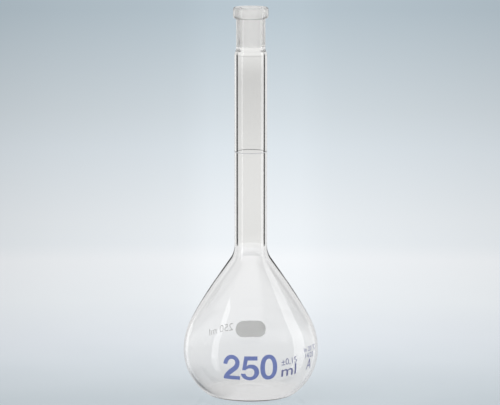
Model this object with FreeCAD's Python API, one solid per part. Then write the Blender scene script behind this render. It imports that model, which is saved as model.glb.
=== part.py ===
import FreeCAD
import Part
import math
import os

# Volumetric flask for 250 mL, in millimetres.
# Z is the axis of the glass, the foot ring stands on z = 0 and the capacity print faces -Y.

# Calibrated capacity, in cubic millimetres
CAPACITY = 250000.0

# Blown bulb, measured on the outside of the glass
BULB_DIAMETER = 80.0
BELLY_HEIGHT = 26.6
BELLY_LOWER_RADIUS = 31.7
BELLY_UPPER_RADIUS = 39.4
BELLY_UPPER_TURN = 28.8
SHOULDER_RADIUS = 300.0
SHOULDER_TURN = 6.2
NECK_ROOT_RADIUS = 13.9
HEEL_RADIUS = 5.0

# Wall of the bulb, and its foot: a flat ring round a shallow push-up, as thick as the side
BULB_WALL = 1.53
FOOT_INNER_RADIUS = 19.0
PUSH_UP = 0.4
FLOOR_THICKNESS = 1.6
HEEL_INNER_RADIUS = 3.5

# Neck tube
NECK_DIAMETER = 19.2
NECK_WALL = 1.53

# Ground socket 14/23: wide end 14.5 mm, ground length 23 mm, taper 1 in 10
TOTAL_HEIGHT = 230.9
SOCKET_WIDE_END = 14.5
GROUND_LENGTH = 23.0
GROUND_TAPER = 0.1
SOCKET_DIAMETER = 17.2
COLLAR_BOTTOM = 202.4
COLLAR_HEIGHT = 4.4
MOUTH_ROUNDING = 0.5

# Rim bead round the mouth
BEAD_DIAMETER = 20.8
BEAD_HEIGHT = 6.8
BEAD_TOP_RADIUS = 1.6
BEAD_LOWER_RADIUS = 1.5
BEAD_ROOT_RADIUS = 0.2

# Fired enamel: the ring at the calibrated level and the oval field to write on
ENAMEL_THICKNESS = 0.06
RING_WIDTH = 0.4
PANEL_WIDTH = 19.1
PANEL_HEIGHT = 10.5
PANEL_CENTRE_HEIGHT = 31.0
PANEL_CORNER_RADIUS = 5.0

AXIS_START = FreeCAD.Vector(0, 0, 0)
UP = FreeCAD.Vector(0, 0, 1)


class Meridian:
    """A chain of tangent arcs and lines in the half-plane of radius r and height z."""

    def __init__(self, r, z, heading):
        self.r = r
        self.z = z
        self.heading = heading
        self.edges = []

    def vector(self):
        return FreeCAD.Vector(self.r, 0, self.z)

    def line(self, length):
        angle = math.radians(self.heading)
        self.line_to(self.r + length * math.cos(angle), self.z + length * math.sin(angle))

    def line_to(self, r, z):
        start = self.vector()
        self.r, self.z = r, z
        self.edges.append(Part.LineSegment(start, self.vector()).toShape())

    def arc(self, radius, turn):
        """Positive turns bend to the left of the heading, and negative ones to the right."""
        start = self.vector()
        side = math.copysign(radius, turn)
        angle = math.radians(self.heading)
        centre_r = self.r - side * math.sin(angle)
        centre_z = self.z + side * math.cos(angle)
        points = []
        for part_turn in (turn / 2, turn):
            angle = math.radians(self.heading + part_turn)
            self.r = centre_r + side * math.sin(angle)
            self.z = centre_z - side * math.cos(angle)
            points.append(self.vector())
        self.heading += turn
        self.edges.append(Part.Arc(start, points[0], points[1]).toShape())

    def side_step(self, width, height, first_side):
        """Two equal arcs that move sideways by width over height and end in the same heading."""
        turn = 2 * math.degrees(math.atan2(width, height))
        radius = (width ** 2 + height ** 2) / (4 * width)
        self.arc(radius, first_side * turn)
        self.arc(radius, -first_side * turn)

    def dome_to_axis(self, rise):
        """A shallow spherical cap from here to the axis."""
        radius = (self.r ** 2 + rise ** 2) / (2 * rise)
        half_angle = math.degrees(math.asin(self.r / radius))
        self.heading = 180 - half_angle
        self.arc(radius, half_angle)


def revolved(edges):
    """The solid of revolution of a closed outline."""
    outline = Part.Wire(Part.__sortEdges__(edges))
    return Part.Face(outline).revolve(AXIS_START, UP, 360)


def segment(r1, z1, r2, z2):
    return Part.LineSegment(FreeCAD.Vector(r1, 0, z1), FreeCAD.Vector(r2, 0, z2)).toShape()


def shoulder(inset):
    """The bulb's side from its widest level up to the top of the shoulder."""
    side = Meridian(BULB_DIAMETER / 2 - inset, BELLY_HEIGHT, 90)
    side.arc(BELLY_UPPER_RADIUS - inset, BELLY_UPPER_TURN)
    side.arc(SHOULDER_RADIUS - inset, SHOULDER_TURN)
    return side


def upper_bulb(inset):
    """The bulb's side from its widest level up to the root of the neck."""
    side = shoulder(inset)
    lean = BELLY_UPPER_TURN + SHOULDER_TURN
    neck_radius = NECK_DIAMETER / 2 - inset
    root_radius = NECK_ROOT_RADIUS + inset
    inward = side.r - neck_radius - root_radius * (1 - math.cos(math.radians(lean)))
    side.line(inward / math.sin(math.radians(lean)))
    side.arc(root_radius, -lean)
    return side


def lower_bulb(inset, heel_radius, floor):
    """The bulb's side from its widest level down round the heel to the floor."""
    side = Meridian(BULB_DIAMETER / 2 - inset, BELLY_HEIGHT, -90)
    belly_radius = BELLY_LOWER_RADIUS - inset
    sweep = math.degrees(math.asin((BELLY_HEIGHT - floor - heel_radius) / (belly_radius - heel_radius)))
    side.arc(belly_radius, -sweep)
    side.arc(heel_radius, sweep - 90)
    return side


def inner_bulb_edges(neck_bottom):
    """The inside of the bulb, from the axis at the floor up to the neck's bore, thinning to the neck's wall."""
    lower = lower_bulb(BULB_WALL, HEEL_INNER_RADIUS, FLOOR_THICKNESS)
    lower.dome_to_axis(PUSH_UP)
    upper = shoulder(BULB_WALL)
    root_radius = NECK_ROOT_RADIUS + NECK_WALL
    outward = NECK_DIAMETER / 2 + NECK_ROOT_RADIUS - upper.r
    upward = neck_bottom - upper.z
    distance = math.hypot(outward, upward)
    upper.heading = math.degrees(math.atan2(upward, outward) + math.asin(root_radius / distance))
    upper.line(math.sqrt(distance ** 2 - root_radius ** 2))
    upper.arc(root_radius, 90 - upper.heading)
    return lower.edges + upper.edges


def make_bulb():
    lower = lower_bulb(0, HEEL_RADIUS, 0)
    lower.line_to(FOOT_INNER_RADIUS, 0)
    lower.dome_to_axis(PUSH_UP)
    upper = upper_bulb(0)
    axis = segment(0, PUSH_UP, 0, FLOOR_THICKNESS + PUSH_UP)
    seam = segment(upper.r, upper.z, upper.r - NECK_WALL, upper.z)
    return revolved(lower.edges + upper.edges + inner_bulb_edges(upper.z) + [axis, seam])


def make_neck_tube(bottom):
    outer = NECK_DIAMETER / 2
    height = COLLAR_BOTTOM - bottom
    start = FreeCAD.Vector(0, 0, bottom)
    wall = Part.makeCylinder(outer, height, start, UP)
    return wall.cut(Part.makeCylinder(outer - NECK_WALL, height, start, UP))


def ring_height(neck_bottom):
    """The level at which the flask holds its capacity."""
    bore_radius = NECK_DIAMETER / 2 - NECK_WALL
    lid = segment(bore_radius, neck_bottom, 0, neck_bottom)
    axis = segment(0, neck_bottom, 0, FLOOR_THICKNESS + PUSH_UP)
    bulb_volume = revolved(inner_bulb_edges(neck_bottom) + [lid, axis]).Volume
    return neck_bottom + (CAPACITY - bulb_volume) / (math.pi * bore_radius ** 2)


def make_ground_socket():
    """Collar, ground cone and rim bead, drawn once round from the neck's outer edge."""
    neck_radius = NECK_DIAMETER / 2
    socket_radius = SOCKET_DIAMETER / 2
    bead_radius = BEAD_DIAMETER / 2
    bead_bottom = TOTAL_HEIGHT - BEAD_HEIGHT
    cone_angle = math.degrees(math.atan(GROUND_TAPER / 2))
    outline = Meridian(neck_radius, COLLAR_BOTTOM, 90)
    outline.side_step(neck_radius - socket_radius, COLLAR_HEIGHT, 1)
    outline.line_to(socket_radius, bead_bottom - BEAD_ROOT_RADIUS)
    outline.arc(BEAD_ROOT_RADIUS, -90)
    outline.line_to(bead_radius - BEAD_LOWER_RADIUS, bead_bottom)
    outline.arc(BEAD_LOWER_RADIUS, 90)
    outline.line_to(bead_radius, TOTAL_HEIGHT - BEAD_TOP_RADIUS)
    outline.arc(BEAD_TOP_RADIUS, 90)
    outline.line_to(SOCKET_WIDE_END / 2 + MOUTH_ROUNDING, TOTAL_HEIGHT)
    outline.arc(MOUTH_ROUNDING, 90 - cone_angle)
    outline.line(GROUND_LENGTH / math.cos(math.radians(cone_angle)))
    outline.heading = 270
    bore_radius = neck_radius - NECK_WALL
    outline.side_step(bore_radius - outline.r, outline.z - COLLAR_BOTTOM, 1)
    outline.line_to(neck_radius, COLLAR_BOTTOM)
    return revolved(outline.edges)


def make_ring_mark(height):
    inner = NECK_DIAMETER / 2
    start = FreeCAD.Vector(0, 0, height - RING_WIDTH / 2)
    band = Part.makeCylinder(inner + ENAMEL_THICKNESS, RING_WIDTH, start, UP)
    return band.cut(Part.makeCylinder(inner, RING_WIDTH, start, UP))


def enamel_skin():
    """A layer of enamel all over the outside of the bulb."""
    edges = []
    for inset in (0, -ENAMEL_THICKNESS):
        lower = lower_bulb(inset, HEEL_RADIUS - inset, inset)
        upper = upper_bulb(inset)
        edges += lower.edges + upper.edges
    edges.append(segment(lower.r, 0, lower.r, -ENAMEL_THICKNESS))
    edges.append(segment(upper.r, upper.z, upper.r - ENAMEL_THICKNESS, upper.z))
    return revolved(edges)


def make_writing_panel():
    """The oval field on the back, cut out of the enamel skin."""
    block = Part.makeBox(PANEL_WIDTH, BULB_DIAMETER, PANEL_HEIGHT)
    block.translate(FreeCAD.Vector(-PANEL_WIDTH / 2, 0, PANEL_CENTRE_HEIGHT - PANEL_HEIGHT / 2))
    long_edges = [edge for edge in block.Edges if abs(edge.tangentAt(edge.FirstParameter).y) > 0.9]
    oval = block.makeFillet(PANEL_CORNER_RADIUS, long_edges)
    return enamel_skin().common(oval)


def main():
    os.makedirs("parts", exist_ok=True)
    neck_bottom = upper_bulb(0).z
    mark_height = ring_height(neck_bottom)
    pieces = {
        "bulb": make_bulb(),
        "neck_tube": make_neck_tube(neck_bottom),
        "ground_socket": make_ground_socket(),
        "ring_mark": make_ring_mark(mark_height),
        "writing_panel": make_writing_panel(),
    }
    for name, shape in pieces.items():
        solid = shape.Solids[0]
        print(name, "volume", round(solid.Volume, 1), "mm3, valid", solid.isValid(), len(shape.Solids))
        solid.exportStep("parts/" + name + ".step")
    print("neck starts at", round(neck_bottom, 2), "mm, ring mark at", round(mark_height, 2), "mm")


main()
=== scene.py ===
import bmesh
import bpy
import math
from mathutils import Matrix, Vector


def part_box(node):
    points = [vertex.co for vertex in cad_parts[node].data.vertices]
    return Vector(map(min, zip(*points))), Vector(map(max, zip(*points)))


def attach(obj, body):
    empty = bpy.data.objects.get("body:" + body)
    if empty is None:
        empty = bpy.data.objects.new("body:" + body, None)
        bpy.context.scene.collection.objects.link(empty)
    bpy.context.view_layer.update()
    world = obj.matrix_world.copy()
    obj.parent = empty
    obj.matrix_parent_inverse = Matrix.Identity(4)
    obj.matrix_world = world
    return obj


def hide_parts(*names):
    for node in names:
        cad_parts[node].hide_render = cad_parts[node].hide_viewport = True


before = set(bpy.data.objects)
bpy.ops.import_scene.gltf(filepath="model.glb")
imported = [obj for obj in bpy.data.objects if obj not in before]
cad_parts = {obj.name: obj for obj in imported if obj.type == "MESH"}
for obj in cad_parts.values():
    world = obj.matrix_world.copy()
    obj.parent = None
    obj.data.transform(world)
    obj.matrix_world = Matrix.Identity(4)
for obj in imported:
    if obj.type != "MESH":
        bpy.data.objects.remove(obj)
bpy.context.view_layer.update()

mm = 0.001
roundSteps = 192      # steps once round the flask
arcStep = 1.5         # degrees per step along a bend of the outline
weldGap = 0.0005      # points closer than this are joined, in millimetres
curveGap = 1e-5       # the same in a flat curve, before it gets its size
enamelLift = 0.01     # gap between the glass and the enamel on it, in millimetres
glassIor = 1.473      # borosilicate
lookHeight = 240      # looks that change with height run from the foot to here, in millimetres
scene = bpy.context.scene
scene.view_settings.view_transform = "Standard"


def linear(hexColour):
    channels = [int(hexColour[i:i + 2], 16) / 255 for i in (1, 3, 5)]
    return [c / 12.92 if c <= 0.04045 else ((c + 0.055) / 1.055) ** 2.4 for c in channels] + [1.0]


def addNode(tree, kind, inputs=None, **settings):
    node = tree.nodes.new(kind)
    for name, value in settings.items():
        setattr(node, name, value)
    for name, value in (inputs or {}).items():
        if isinstance(value, bpy.types.NodeSocket):
            tree.links.new(value, node.inputs[name])
        else:
            node.inputs[name].default_value = value
    return node


def newMaterial(name):
    material = bpy.data.materials.new(name)
    material.use_nodes = True
    material.node_tree.nodes.clear()
    return material, material.node_tree


def setRamp(node, stops):
    ramp = node.color_ramp
    while len(ramp.elements) < len(stops):
        ramp.elements.new(0.5)
    for element, (place, colour) in zip(ramp.elements, stops):
        element.position = place
        element.color = linear(colour) if isinstance(colour, str) else (colour, colour, colour, 1)


# Painted reflection: dark lines, a dark matt shader mixed into the glass where the wall is seen edge
# on, stand in for the dark sides of the studio mirrored there. A line has stops by how steeply the
# glass is seen, from 0 to 1, and by the height on the flask in millimetres, and may widen with that
# height. With an ior it goes by how much the surface mirrors inside the wall
def paintedEdgeReflection(tree, position, glass, line):
    # the painted dark of the edge lines, a painted reflection
    dark = addNode(tree, "ShaderNodeBsdfPrincipled", {
        "Base Color": linear("#0C0C0C"), "Roughness": 0.6, "Specular IOR Level": 0.0})
    split = addNode(tree, "ShaderNodeSeparateXYZ", {"Vector": position})
    if "ior" in line:
        steep = addNode(tree, "ShaderNodeFresnel", {"IOR": line["ior"]}).outputs["Fac"]
    else:
        steep = addNode(tree, "ShaderNodeLayerWeight", {"Blend": 0.5}).outputs["Facing"]
    if "widen" in line:
        (low, least), (high, most) = line["widen"]
        wider = addNode(tree, "ShaderNodeMapRange", {
            "Value": split.outputs["Z"], "From Min": low * mm, "From Max": high * mm,
            "To Min": least, "To Max": most})
        wider = addNode(tree, "ShaderNodeMath", {0: steep, 1: wider.outputs["Result"]})
        steep = wider.outputs["Value"]
    edge = addNode(tree, "ShaderNodeValToRGB", {"Fac": steep})
    setRamp(edge, line["stops"])
    level = addNode(tree, "ShaderNodeMath", {0: split.outputs["Z"], 1: lookHeight * mm},
                    operation="DIVIDE")
    height = addNode(tree, "ShaderNodeValToRGB", {"Fac": level.outputs["Value"]})
    setRamp(height, [(z / lookHeight, share) for z, share in line["height"]])
    share = addNode(tree, "ShaderNodeMath", {0: edge.outputs["Color"], 1: height.outputs["Color"]},
                    operation="MULTIPLY")
    if "ior" in line:
        side = addNode(tree, "ShaderNodeNewGeometry")
        share = addNode(tree, "ShaderNodeMath", {
            0: share.outputs["Value"], 1: side.outputs["Backfacing"]}, operation="MULTIPLY")
    mix = addNode(tree, "ShaderNodeMixShader", {
        "Fac": share.outputs["Value"], 1: glass, 2: dark.outputs["BSDF"]})
    return mix.outputs["Shader"]


# Borosilicate glass, blown and fire polished: clear, with sharp reflections and the faint waves that
# the blowing left, whose size and height are in millimetres. Where a line is given, painted dark edge
# lines are mixed in as a painted reflection
def blownGlass(name, finish, line=None):
    material, tree = newMaterial(name)
    coords = addNode(tree, "ShaderNodeTexCoord")
    wave = addNode(tree, "ShaderNodeTexNoise", {
        "Vector": coords.outputs["Object"], "Scale": 1 / (finish["waveSize"] * mm), "Detail": 1.0})
    bump = addNode(tree, "ShaderNodeBump", {
        "Height": wave.outputs["Fac"], "Strength": 1.0, "Distance": finish["waveHeight"] * mm})
    glass = addNode(tree, "ShaderNodeBsdfPrincipled", {
        "Base Color": linear(finish["tint"]), "Normal": bump.outputs["Normal"],
        "Roughness": 0.0, "IOR": glassIor, "Transmission Weight": 1.0})
    surface = glass.outputs["BSDF"]
    # painted reflection: dark edge lines mixed into the glass
    if line:
        surface = paintedEdgeReflection(tree, coords.outputs["Object"], surface, line)
    addNode(tree, "ShaderNodeOutputMaterial", {"Surface": surface})
    return material


# Glass melted to glass in the flame: no boundary is left, so light goes straight through
def flameSeal():
    material, tree = newMaterial("flameSealedBorosilicate")
    glass = addNode(tree, "ShaderNodeBsdfPrincipled", {
        "Base Color": linear("#FFFFFF"), "Roughness": 0.0, "IOR": 1.0, "Transmission Weight": 1.0})
    addNode(tree, "ShaderNodeOutputMaterial", {"Surface": glass.outputs["BSDF"]})
    return material


# Borosilicate ground with fine grit: the cut surface scatters light and looks evenly white.
# The grit is drawn coarser than it is, so that it shows
gritShape = {"size": 0.25, "depth": 0.02}    # millimetres


def groundGlass():
    material, tree = newMaterial("groundBorosilicate")
    coords = addNode(tree, "ShaderNodeTexCoord")
    grit = addNode(tree, "ShaderNodeTexNoise", {
        "Vector": coords.outputs["Object"], "Scale": 1 / (gritShape["size"] * mm), "Detail": 2.0})
    bump = addNode(tree, "ShaderNodeBump", {
        "Height": grit.outputs["Fac"], "Strength": 0.5, "Distance": gritShape["depth"] * mm})
    shade = addNode(tree, "ShaderNodeValToRGB", {"Fac": grit.outputs["Fac"]})
    setRamp(shade, [(0.3, "#F6F6F5"), (0.7, "#FFFFFF")])
    glass = addNode(tree, "ShaderNodeBsdfPrincipled", {
        "Base Color": shade.outputs["Color"], "Normal": bump.outputs["Normal"],
        "Roughness": 0.55, "IOR": glassIor, "Transmission Weight": 0.85})
    addNode(tree, "ShaderNodeOutputMaterial", {"Surface": glass.outputs["BSDF"]})
    return material


# Screen-printed ceramic enamel, fired onto the glass: matt, slightly uneven in thickness and shade.
# A thin coat lets some of the light from behind shine through
enamelShape = {"mottle": 1.2, "screen": 0.3, "depth": 0.02}    # millimetres


def firedEnamel(name, pale, deep, through=0.0):
    material, tree = newMaterial(name)
    coords = addNode(tree, "ShaderNodeTexCoord")
    mottle = addNode(tree, "ShaderNodeTexNoise", {
        "Vector": coords.outputs["Object"], "Scale": 1 / (enamelShape["mottle"] * mm),
        "Detail": 3.0, "Roughness": 0.6})
    shade = addNode(tree, "ShaderNodeValToRGB", {"Fac": mottle.outputs["Fac"]})
    setRamp(shade, [(0.3, deep), (0.7, pale)])
    screen = addNode(tree, "ShaderNodeTexNoise", {
        "Vector": coords.outputs["Object"], "Scale": 1 / (enamelShape["screen"] * mm)})
    bump = addNode(tree, "ShaderNodeBump", {
        "Height": screen.outputs["Fac"], "Strength": 0.4, "Distance": enamelShape["depth"] * mm})
    enamel = addNode(tree, "ShaderNodeBsdfPrincipled", {
        "Base Color": shade.outputs["Color"], "Normal": bump.outputs["Normal"],
        "Roughness": 0.6, "IOR": 1.5, "Transmission Weight": through})
    addNode(tree, "ShaderNodeOutputMaterial", {"Surface": enamel.outputs["BSDF"]})
    return material


# Painted dark edge lines, which stand for mirrored shade: the neck's lies on the bore, seen through
# the wall, and the others on the outside
neckPaintedEdge = {"ior": 1.41, "stops": [(0.08, 0), (0.11, 1), (0.98, 1), (0.995, 0)],
            "height": [(88, 0), (91, 0.93), (202.5, 0.93), (204, 0)]}
beadPaintedEdge = {"stops": [(0.7, 0), (0.8, 1)], "height": [(0, 0.3), (lookHeight, 0.3)]}
beadFootPaintedEdge = {"stops": [(0.3, 0), (0.45, 1), (0.65, 1), (0.8, 0)],
                "height": [(0, 0.5), (lookHeight, 0.5)]}
bulbPaintedEdge = {"stops": [(0.895, 0), (0.925, 1)], "widen": [(52, 0), (82, 0.243)],
            "height": [(44, 0), (50, 0.9), (63, 0.9), (69, 0.58), (75, 0.82), (82, 0.95), (86, 0.6),
                       (89, 0.2)]}
tubeFinish = {"tint": "#FBFBFA", "waveSize": 14, "waveHeight": 0.01}
bulbFinish = {"tint": "#FEFEFE", "waveSize": 22, "waveHeight": 0.02}
neckOuterGlass = blownGlass("drawnBorosilicateOutside", tubeFinish)
neckInnerGlass = blownGlass("drawnBorosilicateBore", tubeFinish, neckPaintedEdge)
beadGlass = blownGlass("firePolishedBorosilicateBead", tubeFinish, beadPaintedEdge)
beadFootGlass = blownGlass("firePolishedBorosilicateBeadFoot", tubeFinish, beadFootPaintedEdge)
bulbOuterGlass = blownGlass("blownBorosilicateOutside", bulbFinish, bulbPaintedEdge)
bulbInnerGlass = blownGlass("blownBorosilicateInside", bulbFinish)
sealedGlass = flameSeal()
frostedGlass = groundGlass()
print("glass materials ready")


def drawArc(bm, pen, radius, turn):
    side = math.copysign(radius, turn)
    angle = math.radians(pen["heading"])
    centre = pen["vert"].co + Vector((-side * math.sin(angle), 0, side * math.cos(angle)))
    swept = bmesh.ops.spin(bm, geom=[pen["vert"]], cent=centre, axis=(0, -1, 0),
                           angle=math.radians(turn), steps=max(3, round(abs(turn) / arcStep)))
    pen["vert"] = [v for v in swept["geom_last"] if isinstance(v, bmesh.types.BMVert)][0]
    pen["heading"] += turn


def drawLine(bm, pen, length):
    angle = math.radians(pen["heading"])
    pen["vert"] = bmesh.ops.extrude_vert_indiv(bm, verts=[pen["vert"]])["verts"][0]
    pen["vert"].co += length * Vector((math.cos(angle), 0, math.sin(angle)))


# Draws one stretch of the outline, as bends (radius, turn) and straights (length,), and turns it round
# the axis: an eighth of a turn first, which is then doubled three times
def turnStretch(bm, pen, moves, slotIndex):
    strip = bmesh.new()
    pen["vert"] = strip.verts.new(pen["vert"].co)
    for move in moves:
        if len(move) == 1:
            drawLine(strip, pen, *move)
        else:
            drawArc(strip, pen, *move)
    end = pen["vert"].co.copy()
    bmesh.ops.spin(strip, geom=strip.verts[:] + strip.edges[:], cent=(0, 0, 0), axis=(0, 0, 1),
                   angle=math.pi / 4, steps=roundSteps // 8)
    for turn in (45, 90, 180):
        copy = bmesh.ops.duplicate(strip, geom=strip.verts[:] + strip.edges[:] + strip.faces[:])["geom"]
        bmesh.ops.rotate(strip, verts=[v for v in copy if isinstance(v, bmesh.types.BMVert)],
                         cent=(0, 0, 0), matrix=Matrix.Rotation(math.radians(turn), 3, "Z"))
    for face in strip.faces:
        face.material_index = slotIndex
        face.smooth = True
    holder = bpy.data.meshes.new("stretch")
    strip.to_mesh(holder)
    strip.free()
    bm.from_mesh(holder)
    bpy.data.meshes.remove(holder)
    pen["vert"] = bm.verts.new(end)


def startPen(bm, r, z, heading):
    return {"vert": bm.verts.new((r, 0, z)), "heading": heading}


# Two equal bends that move sideways by width over height
def sideStep(width, height, firstSide):
    turn = 2 * math.degrees(math.atan2(width, height))
    radius = (width ** 2 + height ** 2) / (4 * width)
    return [(radius, firstSide * turn), (radius, -firstSide * turn)]


# Closes the mesh, marks its creases and makes it a piece of the flask
def finishPiece(name, bm, materials, node=None, crease=25):
    bmesh.ops.remove_doubles(bm, verts=bm.verts, dist=weldGap)
    loose = [v for v in bm.verts if not v.link_faces]
    bmesh.ops.delete(bm, geom=loose, context="VERTS")
    bmesh.ops.recalc_face_normals(bm, faces=bm.faces)
    for edge in bm.edges:
        edge.smooth = len(edge.link_faces) == 2 and edge.calc_face_angle(0) < math.radians(crease)
    bmesh.ops.scale(bm, verts=bm.verts, vec=(mm, mm, mm))
    mesh = bpy.data.meshes.new(name)
    bm.to_mesh(mesh)
    bm.free()
    piece = bpy.data.objects.new(name, mesh)
    scene.collection.objects.link(piece)
    for material in materials:
        mesh.materials.append(material)
    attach(piece, "root")
    if node:
        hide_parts(node)
    print(name, len(mesh.polygons), "faces")


# Places of the glass materials in a piece's list
outside, inside, sealed, ground, bead, beadFoot = range(6)

# Bulb: blown pear shape with a flat foot ring and a shallow push-up, all in millimetres
bulbShape = {"radius": 40.0, "bellyHeight": 26.6, "bellyLower": 31.7, "bellyUpper": 39.4,
             "bellyTurn": 28.8, "shoulder": 300.0, "shoulderTurn": 6.2, "neckRoot": 13.9,
             "neckRadius": 9.6, "heel": 5.0, "heelInside": 3.5, "footInside": 19.0, "pushUp": 0.4,
             "floor": 1.6, "wall": 1.53}


def upperMoves():
    s = bulbShape
    lean, turn = math.radians(s["bellyTurn"] + s["shoulderTurn"]), math.radians(s["bellyTurn"])
    r = (s["radius"] - s["bellyUpper"] * (1 - math.cos(turn))
         - s["shoulder"] * (math.cos(turn) - math.cos(lean)))
    inward = r - s["neckRadius"] - s["neckRoot"] * (1 - math.cos(lean))
    return [(s["bellyUpper"], s["bellyTurn"]), (s["shoulder"], s["shoulderTurn"]),
            (inward / math.sin(lean),), (s["neckRoot"], -math.degrees(lean))]


def lowerSweep(inset, heel, floor):
    s = bulbShape
    belly = s["bellyLower"] - inset
    return math.degrees(math.asin((s["bellyHeight"] - floor - heel) / (belly - heel)))


def makeBulb():
    s = bulbShape
    bm = bmesh.new()
    domeRadius = (s["footInside"] ** 2 + s["pushUp"] ** 2) / (2 * s["pushUp"])
    domeTurn = math.degrees(math.asin(s["footInside"] / domeRadius))
    sweep = lowerSweep(0, s["heel"], 0)
    flat = (s["radius"] - s["bellyLower"]
            + (s["bellyLower"] - s["heel"]) * math.cos(math.radians(sweep)) - s["footInside"])
    pen = startPen(bm, 0, s["pushUp"], 0)
    turnStretch(bm, pen, [(domeRadius, -domeTurn)], outside)
    pen["heading"] = 0
    turnStretch(bm, pen, [(flat,), (s["heel"], 90 - sweep), (s["bellyLower"], sweep)] + upperMoves(),
                outside)
    pen["heading"] = 180
    turnStretch(bm, pen, [(s["wall"],)], sealed)
    pen["heading"] = -90
    # the inside runs back down at the wall's distance, with its bends that much tighter or wider
    downMoves = [move if len(move) == 1 else (move[0] - math.copysign(s["wall"], move[1]), -move[1])
                 for move in reversed(upperMoves())]
    sweep = lowerSweep(s["wall"], s["heelInside"], s["floor"])
    turnStretch(bm, pen, downMoves + [(s["bellyLower"] - s["wall"], -sweep),
                                      (s["heelInside"], sweep - 90)], inside)
    r = pen["vert"].co.x
    domeRadius = (r ** 2 + s["pushUp"] ** 2) / (2 * s["pushUp"])
    domeTurn = math.degrees(math.asin(r / domeRadius))
    pen["heading"] = 180 - domeTurn
    turnStretch(bm, pen, [(domeRadius, domeTurn)], inside)
    glasses = [bulbOuterGlass, bulbInnerGlass, sealedGlass]
    finishPiece("blownBulb", bm, glasses, "bulb")


makeBulb()


# Neck: drawn tube between the bulb and the collar
def makeNeck():
    low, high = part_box("neck_tube")[0][2] / mm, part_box("neck_tube")[1][2] / mm
    outer, wall = bulbShape["neckRadius"], bulbShape["wall"]
    bm = bmesh.new()
    pen = startPen(bm, outer, low, 90)
    turnStretch(bm, pen, [(high - low,)], outside)
    pen["heading"] = 180
    turnStretch(bm, pen, [(wall,)], sealed)
    pen["heading"] = -90
    turnStretch(bm, pen, [(high - low,)], inside)
    pen["heading"] = 0
    turnStretch(bm, pen, [(wall,)], sealed)
    glasses = [neckOuterGlass, neckInnerGlass, sealedGlass]
    finishPiece("neckTube", bm, glasses, "neck_tube")


makeNeck()


# Socket: collar, ground cone and rim bead, in millimetres
socketShape = {"top": 230.9, "wideEnd": 14.5, "groundLength": 23.0, "taper": 0.1, "radius": 8.6,
               "collarBottom": 202.4, "collarHeight": 4.4, "mouthRound": 0.5, "beadRadius": 10.4,
               "beadHeight": 6.8, "beadTop": 1.6, "beadLower": 1.5, "beadRoot": 0.2}


def makeSocket():
    s = socketShape
    outer, wall = bulbShape["neckRadius"], bulbShape["wall"]
    beadBottom = s["top"] - s["beadHeight"]
    cone = math.degrees(math.atan(s["taper"] / 2))
    bm = bmesh.new()
    pen = startPen(bm, outer, s["collarBottom"], 90)
    turnStretch(bm, pen, sideStep(outer - s["radius"], s["collarHeight"], 1)
                + [(beadBottom - s["beadRoot"] - s["collarBottom"] - s["collarHeight"],)], outside)
    turnStretch(bm, pen, [(s["beadRoot"], -90),
                          (s["beadRadius"] - s["beadLower"] - s["radius"] - s["beadRoot"],),
                          (s["beadLower"], 90)], beadFoot)
    turnStretch(bm, pen, [(s["beadHeight"] - s["beadLower"] - s["beadTop"],), (s["beadTop"], 90)], bead)
    turnStretch(bm, pen, [(s["beadRadius"] - s["beadTop"] - s["wideEnd"] / 2 - s["mouthRound"],),
                          (s["mouthRound"], 90 - cone)], inside)
    turnStretch(bm, pen, [(s["groundLength"] / math.cos(math.radians(cone)),)], ground)
    pen["heading"] = 270
    r, z = pen["vert"].co.x, pen["vert"].co.z
    turnStretch(bm, pen, sideStep(outer - wall - r, z - s["collarBottom"], 1), inside)
    pen["heading"] = 0
    turnStretch(bm, pen, [(wall,)], sealed)
    glasses = [neckOuterGlass, neckInnerGlass, sealedGlass, frostedGlass, beadGlass, beadFootGlass]
    finishPiece("groundSocket", bm, glasses, "ground_socket", crease=40)


makeSocket()
print("glass ready")

ringEnamel = firedEnamel("firedEnamelGrey", "#B8B9BC", "#ADAEB2")
whiteEnamel = firedEnamel("firedEnamelWhite", "#F4F4F2", "#ECECEA", 0.73)
blueEnamel = firedEnamel("firedEnamelBlue", "#6C7AAE", "#5E6CA2")
darkEnamel = firedEnamel("firedEnamelDarkBlue", "#6A6E92", "#5B5F86")

# Ring mark: one thin line of enamel round the neck, in millimetres
ringShape = {"thickness": 0.06}


def makeRing():
    low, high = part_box("ring_mark")[0][2] / mm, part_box("ring_mark")[1][2] / mm
    inner, thick = bulbShape["neckRadius"], ringShape["thickness"] - enamelLift
    bm = bmesh.new()
    pen = startPen(bm, inner + enamelLift, low, 0)
    for length in (thick, high - low, thick, high - low):
        turnStretch(bm, pen, [(length,)], outside)
        pen["heading"] += 90
    finishPiece("ringMark", bm, [ringEnamel], "ring_mark")


makeRing()


# Lays a flat print on the bulb: x runs round the glass and y up its side from the widest level,
# and sag bends the line of the print
def layOnBulb(bm, place):
    s = bulbShape
    sag = place.get("sag", 0)
    for vert in bm.verts:
        across, up, out = vert.co
        across, up = across - (up - place["up"]) * 2 * sag * across, up + across ** 2 * sag
        belly = s["bellyLower"] if up < 0 else s["bellyUpper"]
        lean = up / belly
        r = s["radius"] - belly + (belly + out) * math.cos(lean)
        angle = math.radians(place["turn"]) + across / s["radius"]
        z = s["bellyHeight"] + (belly + out) * math.sin(lean)
        vert.co = (r * math.sin(angle), -r * math.cos(angle), z)


# Cuts a flat print into small faces, gives it its thickness and lays it on the glass
printShape = {"step": 1.0, "thickness": 0.04}    # millimetres


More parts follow.
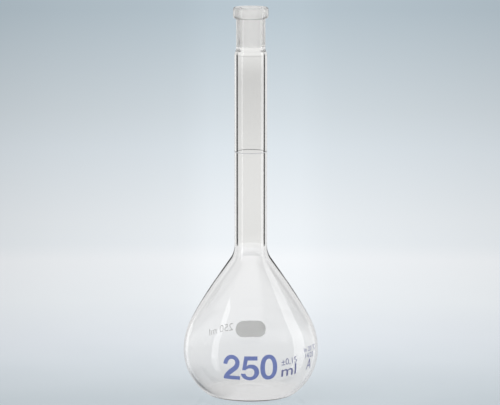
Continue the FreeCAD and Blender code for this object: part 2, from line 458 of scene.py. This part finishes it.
def firePrint(name, bm, place, material, node=None):
    bmesh.ops.translate(bm, verts=bm.verts, vec=(place["across"], place["up"], enamelLift))
    xs, ys = [v.co.x for v in bm.verts], [v.co.y for v in bm.verts]
    for lowest, highest, normal in ((min(xs), max(xs), (1, 0, 0)), (min(ys), max(ys), (0, 1, 0))):
        cuts = math.ceil((highest - lowest) / printShape["step"])
        for i in range(1, cuts):
            spot = Vector(normal) * (lowest + (highest - lowest) * i / cuts)
            bmesh.ops.bisect_plane(bm, geom=bm.verts[:] + bm.edges[:] + bm.faces[:],
                                   plane_co=spot, plane_no=normal)
    raised = bmesh.ops.extrude_face_region(bm, geom=bm.faces[:])["geom"]
    bmesh.ops.translate(bm, verts=[v for v in raised if isinstance(v, bmesh.types.BMVert)],
                        vec=(0, 0, place.get("thickness", printShape["thickness"])))
    layOnBulb(bm, place)
    for face in bm.faces:
        face.smooth = True
    finishPiece(name, bm, [material], node)


# Writing panel on the back: a rounded field of pale enamel, in millimetres and degrees
panelShape = {"width": 19.1, "height": 10.5, "corner": 5.0, "thickness": 0.05, "turn": 180, "across": 0,
              "up": 4.4}


def makePanel():
    s = panelShape
    bm = bmesh.new()
    bmesh.ops.create_grid(bm, x_segments=1, y_segments=1, size=0.5)
    bmesh.ops.scale(bm, verts=bm.verts, vec=(s["width"], s["height"], 1))
    bmesh.ops.bevel(bm, geom=bm.verts[:], offset=s["corner"], segments=10, profile=0.5,
                    affect="VERTICES", material=-1)
    firePrint("writingPanel", bm, s, whiteEnamel, "writing_panel")


makePanel()


# Makes a flat curve a mesh and fits it into a box of that width and height, round the origin
def flatPrint(curve, width, height):
    holder = bpy.data.objects.new(curve.name, curve)
    mesh = bpy.data.meshes.new_from_object(holder)
    bm = bmesh.new()
    bm.from_mesh(mesh)
    bpy.data.objects.remove(holder)
    bpy.data.meshes.remove(mesh)
    bmesh.ops.remove_doubles(bm, verts=bm.verts, dist=curveGap)
    xs, ys = [v.co.x for v in bm.verts], [v.co.y for v in bm.verts]
    centre = Vector(((min(xs) + max(xs)) / 2, (min(ys) + max(ys)) / 2, 0))
    bmesh.ops.translate(bm, verts=bm.verts, vec=-centre)
    bmesh.ops.scale(bm, verts=bm.verts,
                    vec=(width / (max(xs) - min(xs)), height / (max(ys) - min(ys)), 1))
    return bm


def makeWord(name, text, place, material):
    curve = bpy.data.curves.new(name, "FONT")
    curve.body = text
    curve.resolution_u = 6
    curve.offset = place.get("bold", 0)
    bm = flatPrint(curve, place["width"], place["height"])
    firePrint(name, bm, place, material)


# Bold grotesque numerals, 100 units tall. A corner is (x, y), a smooth bend (x, y, handle x, handle y),
# and a corner with curves (x, y, handle in, handle out)
numeralShapes = {
    "2": [[(0, 62, 0, 0, 1, 22), (34, 100, 18, 0), (66, 70, 0, -15), (50, 38, -9, -7.5), (24, 16),
           (67, 16), (67, 0), (0, 0, 0, 0, 0, 18), (28, 44, 9, 7.5), (48.5, 69, 0, 9),
           (34, 84, -10, 0), (17, 62, 0.5, 12, 0, 0)]],
    "5": [[(13, 97), (65, 97), (65, 81), (26.5, 81), (22.3, 57, 0, 0, 6, 5.5), (42, 65, 17, 0),
           (71, 33, 0, -18), (36, -1, -19, 0), (0, 27, 1, -17, 0, 0), (18, 27, 0, 0, 1, -8),
           (35, 13.5, 10, 0), (52.5, 33, 0, 11), (36, 50, -9, 0), (19, 42, 4, 5, 0, 0), (5, 42)]],
    "0": [[(34, 101, 22, 0), (68, 50, 0, -31), (34, -1, -22, 0), (0, 50, 0, 31)],
          [(34.3, 85, 10, 0), (50.3, 50, 0, -23), (34.3, 15, -10, 0), (18.3, 50, 0, 23)]]}


def makeNumerals(name, digits, place, material):
    curve = bpy.data.curves.new(name, "CURVE")
    curve.dimensions = "2D"
    curve.fill_mode = "BOTH"
    curve.resolution_u = 10
    for left, digit in digits:
        for outline in numeralShapes[digit]:
            spline = curve.splines.new("BEZIER")
            spline.bezier_points.add(len(outline) - 1)
            spline.use_cyclic_u = True
            for point, (x, y, *bend) in zip(spline.bezier_points, outline):
                into, out = (0, 0), (0, 0)
                if len(bend) == 2:
                    into, out = (-bend[0], -bend[1]), bend
                elif len(bend) == 4:
                    into, out = bend[:2], bend[2:]
                point.handle_left_type = point.handle_right_type = "FREE"
                point.co = (left + x, y, 0)
                point.handle_left = (left + x + into[0], y + into[1], 0)
                point.handle_right = (left + x + out[0], y + out[1], 0)
    bm = flatPrint(curve, place["width"], place["height"])
    firePrint(name, bm, place, material)


# Prints: across and up give the middle of a word on the glass, in millimetres, and turn gives the
# side of the flask, in degrees from the front
capacityPlace = {"width": 32.5, "height": 15.4, "turn": 0, "across": -0.35, "up": -3.3, "sag": 0.0016}
unitPlace = {"width": 10.7, "height": 6.7, "turn": 0, "across": 24.3, "up": -7.0, "sag": 0.0016,
             "bold": 0.008}
tolerancePlace = {"width": 10.9, "height": 4.3, "turn": 0, "across": 24.1, "up": -1.6, "sag": 0.0016}
calibrationPlace = {"width": 14.0, "height": 3.0, "turn": 62, "across": 0, "up": 4.4}
jointPlace = {"width": 9.0, "height": 3.0, "turn": 60, "across": 0, "up": 0.6}
classPlace = {"width": 5.5, "height": 6.4, "turn": 60, "across": 0, "up": -4.8}
backPlace = {"width": 17.0, "height": 4.6, "turn": 180, "across": 19.9, "up": 6.6, "sag": -0.003}
makeNumerals("capacityNumerals", [(0, "2"), (71.2, "5"), (146.7, "0")], capacityPlace, blueEnamel)
makeWord("capacityUnit", "ml", unitPlace, darkEnamel)
makeWord("tolerance", "±0,15", tolerancePlace, darkEnamel)
makeWord("calibration", "In 20 °C", calibrationPlace, darkEnamel)
makeWord("jointSize", "14/23", jointPlace, darkEnamel)
makeWord("classLetter", "A", classPlace, darkEnamel)
makeWord("backCapacity", "250 ml", backPlace, whiteEnamel)
print("prints ready")

# Floor: smooth pale laminate with a faint fleck. Its cover, by the distance from the flask in metres,
# fades into the backdrop further out and is thin under the foot. The thin cover there is painted light:
# it lets the backdrop show where the foot's shadow would fall
floorLook = {"radius": 0.9, "cover": [(0.022, 0.12), (0.04, 0.35), (0.06, 0.35), (0.6, 0.0)],
             "pale": "#C8D2DA", "grey": "#C0CBD4", "fleck": 60, "roughness": 0.08}


def makeFloor():
    material, tree = newMaterial("paleLaminate")
    coords = addNode(tree, "ShaderNodeTexCoord")
    fleck = addNode(tree, "ShaderNodeTexNoise", {
        "Vector": coords.outputs["Object"], "Scale": 1 / (floorLook["fleck"] * mm)})
    shade = addNode(tree, "ShaderNodeValToRGB", {"Fac": fleck.outputs["Fac"]})
    setRamp(shade, [(0.35, floorLook["grey"]), (0.65, floorLook["pale"])])
    surface = addNode(tree, "ShaderNodeBsdfPrincipled", {
        "Base Color": shade.outputs["Color"], "Roughness": floorLook["roughness"]})
    # the cover is thin under the foot: painted light over the foot's shadow
    distance = addNode(tree, "ShaderNodeVectorMath", {0: coords.outputs["Object"]}, operation="LENGTH")
    fade = addNode(tree, "ShaderNodeValToRGB", {"Fac": distance.outputs["Value"]})
    setRamp(fade, floorLook["cover"])
    fade.color_ramp.interpolation = "EASE"
    clear = addNode(tree, "ShaderNodeBsdfTransparent")
    mix = addNode(tree, "ShaderNodeMixShader", {
        "Fac": fade.outputs["Color"], 1: clear.outputs["BSDF"], 2: surface.outputs["BSDF"]})
    addNode(tree, "ShaderNodeOutputMaterial", {"Surface": mix.outputs["Shader"]})
    bm = bmesh.new()
    bmesh.ops.create_circle(bm, cap_ends=True, radius=floorLook["radius"], segments=96)
    mesh = bpy.data.meshes.new("floor")
    bm.to_mesh(mesh)
    bm.free()
    mesh.materials.append(material)
    floor = bpy.data.objects.new("floor", mesh)
    scene.collection.objects.link(floor)


makeFloor()

# Backdrop by height, from the floor's end to the top of the picture, in degrees, and what the glass
# shows of the studio. The room's corner low down on the left is dark
backdrop = {"low": -12.9, "high": -4.95,
            "stops": [(0.015, "#CCD6DC"), (0.108, "#E5ECF2"), (0.158, "#EEF3F9"), (0.257, "#F7FBFE"),
                      (0.356, "#F8FBFE"), (0.395, "#F0F5F9"), (0.455, "#EEF3F7"), (0.628, "#E0E8EE"),
                      (0.727, "#D5DEE4"), (0.974, "#BAC8D1")],
            "side": 4.9,
            "glow": [(0.0, 0.79), (0.12, 0.84), (0.28, 0.89), (0.36, 0.92), (0.42, 0.98), (0.5, 1.0),
                     (0.6, 0.99), (0.66, 0.945), (0.72, 0.925), (0.84, 0.89), (1.0, 0.84)],
            "glassStops": [(-14, "#DFDFDF"), (-13.1, "#E0E0E0"), (-12.2, "#E6E6E6"),
                           (-11.7, "#E8E8E8"), (-11.1, "#F3F3F3"), (-10.6, "#F7F7F7"),
                           (-10.2, "#F6F6F6"), (-9.85, "#F2F2F2"), (-9.55, "#E9E9E9"),
                           (-9.0, "#EBEBEB"), (-8.06, "#E8E8E8"), (-7.43, "#DDDDDD"),
                           (-6.55, "#D1D1D1"), (-6.4, "#D4D4D4"), (-6.15, "#E3E3E3"),
                           (-5.8, "#EBEBEB"), (-5, "#F5F5F5")],
            "mirrored": "#E6E6E6", "corner": "#505050", "cornerLeft": (-0.23, -0.33),
            "cornerLow": (-0.32, -0.45), "front": 1.1, "back": 0.65}


def makeWorld():
    world = bpy.data.worlds.new("studio")
    scene.world = world
    world.use_nodes = True
    tree = world.node_tree
    tree.nodes.clear()
    coords = addNode(tree, "ShaderNodeTexCoord")
    split = addNode(tree, "ShaderNodeSeparateXYZ", {"Vector": coords.outputs["Generated"]})
    level = addNode(tree, "ShaderNodeMapRange", {
        "Value": split.outputs["Z"], "From Min": math.sin(math.radians(backdrop["low"])),
        "From Max": math.sin(math.radians(backdrop["high"]))})
    sky = addNode(tree, "ShaderNodeValToRGB", {"Fac": level.outputs["Result"]})
    setRamp(sky, backdrop["stops"])
    reach = math.sin(math.radians(backdrop["side"]))
    across = addNode(tree, "ShaderNodeMapRange", {
        "Value": split.outputs["X"], "From Min": -reach, "From Max": reach})
    glow = addNode(tree, "ShaderNodeValToRGB", {"Fac": across.outputs["Result"]})
    setRamp(glow, backdrop["glow"])
    lit = addNode(tree, "ShaderNodeMixRGB", {
        "Fac": 1.0, "Color1": sky.outputs["Color"], "Color2": glow.outputs["Color"]},
        blend_type="MULTIPLY")
    greys = [(math.sin(math.radians(height)), grey) for height, grey in backdrop["glassStops"]]
    lowest, highest = greys[0][0], greys[-1][0]
    glassLevel = addNode(tree, "ShaderNodeMapRange", {
        "Value": split.outputs["Z"], "From Min": lowest, "From Max": highest})
    glassSky = addNode(tree, "ShaderNodeValToRGB", {"Fac": glassLevel.outputs["Result"]})
    setRamp(glassSky, [((height - lowest) / (highest - lowest), grey) for height, grey in greys])
    path = addNode(tree, "ShaderNodeLightPath")
    # the camera sees the blue backdrop, rays through glass a neutral one, mirrored rays the room with
    # its dark corner, and matt surfaces a soft light that is strongest from the front
    through = addNode(tree, "ShaderNodeMixRGB", {
        "Fac": path.outputs["Is Camera Ray"], "Color1": glassSky.outputs["Color"],
        "Color2": lit.outputs["Color"]})
    left = addNode(tree, "ShaderNodeMapRange", {
        "Value": split.outputs["X"], "From Min": backdrop["cornerLeft"][0],
        "From Max": backdrop["cornerLeft"][1]})
    low = addNode(tree, "ShaderNodeMapRange", {
        "Value": split.outputs["Z"], "From Min": backdrop["cornerLow"][0],
        "From Max": backdrop["cornerLow"][1]})
    corner = addNode(tree, "ShaderNodeMath", {0: left.outputs["Result"], 1: low.outputs["Result"]},
                     operation="MULTIPLY")
    room = addNode(tree, "ShaderNodeMixRGB", {
        "Fac": corner.outputs["Value"], "Color1": linear(backdrop["mirrored"]),
        "Color2": linear(backdrop["corner"])})
    bounces = addNode(tree, "ShaderNodeMath", {0: path.outputs["Glossy Depth"], 1: 1.0},
                      operation="MINIMUM")
    mirrored = addNode(tree, "ShaderNodeMixRGB", {
        "Fac": bounces.outputs["Value"], "Color1": through.outputs["Color"],
        "Color2": room.outputs["Color"]})
    scatters = addNode(tree, "ShaderNodeMath", {0: path.outputs["Diffuse Depth"], 1: 1.0},
                       operation="MINIMUM")
    frontal = addNode(tree, "ShaderNodeMapRange", {
        "Value": split.outputs["Y"], "From Min": -1.0, "From Max": 1.0,
        "To Min": backdrop["front"], "To Max": backdrop["back"]})
    soft = addNode(tree, "ShaderNodeMixRGB", {
        "Fac": scatters.outputs["Value"], "Color1": mirrored.outputs["Color"],
        "Color2": frontal.outputs["Result"]})
    shine = addNode(tree, "ShaderNodeBackground", {"Color": soft.outputs["Color"], "Strength": 1.0})
    addNode(tree, "ShaderNodeOutputWorld", {"Surface": shine.outputs["Background"]})


makeWorld()


# Softboxes: azimuth is measured from the camera, left is negative, and lengths are in metres
softboxes = {
    "leftStrip": {"azimuth": -63, "lean": -2, "width": 0.2, "height": 1.42, "middle": 0.21,
                  "glow": 2.8},
    "rightBox": {"azimuth": 93.5, "lean": 7.4, "width": 0.43, "height": 1.7, "middle": 0.35,
                 "glow": 2.3},
    "leftRim": {"azimuth": -141, "lean": 0, "width": 0.2, "height": 0.7, "middle": -0.2, "glow": 1.0},
    "rightRim": {"azimuth": 138, "lean": 0, "width": 0.16, "height": 0.7, "middle": -0.2, "glow": 0.6},
    "backTop": {"azimuth": 180, "lean": 0, "width": 0.3, "height": 0.66, "middle": 0.67, "glow": 1.6}}
boxDistance = 0.9


def makeLights():
    for name, box in softboxes.items():
        lamp = bpy.data.lights.new(name, "AREA")
        lamp.shape = "RECTANGLE"
        lamp.size = box["width"]
        lamp.size_y = box["height"]
        lamp.energy = box["glow"] * math.pi * box["width"] * box["height"]
        light = bpy.data.objects.new(name, lamp)
        angle = math.radians(box["azimuth"])
        light.location = (boxDistance * math.sin(angle), -boxDistance * math.cos(angle),
                          box["middle"])
        light.rotation_euler = (math.pi / 2, math.radians(box["lean"]), angle)
        light.visible_camera = False
        light.visible_transmission = False
        scene.collection.objects.link(light)


makeLights()

# Camera: slightly above the flask, with a long lens
viewPoint = {"x": -0.00045, "distance": 1.704, "height": 0.383, "pitch": 8.94, "lens": 209.9,
             "sensor": 36, "nearest": 0.05}
camera = bpy.data.objects.new("camera", bpy.data.cameras.new("camera"))
camera.data.sensor_width = viewPoint["sensor"]
camera.data.lens = viewPoint["lens"]
camera.data.clip_start = viewPoint["nearest"]
camera.location = (viewPoint["x"], -viewPoint["distance"], viewPoint["height"])
camera.rotation_euler = (math.radians(90 - viewPoint["pitch"]), 0, 0)
scene.collection.objects.link(camera)
scene.camera = camera
print("studio ready")
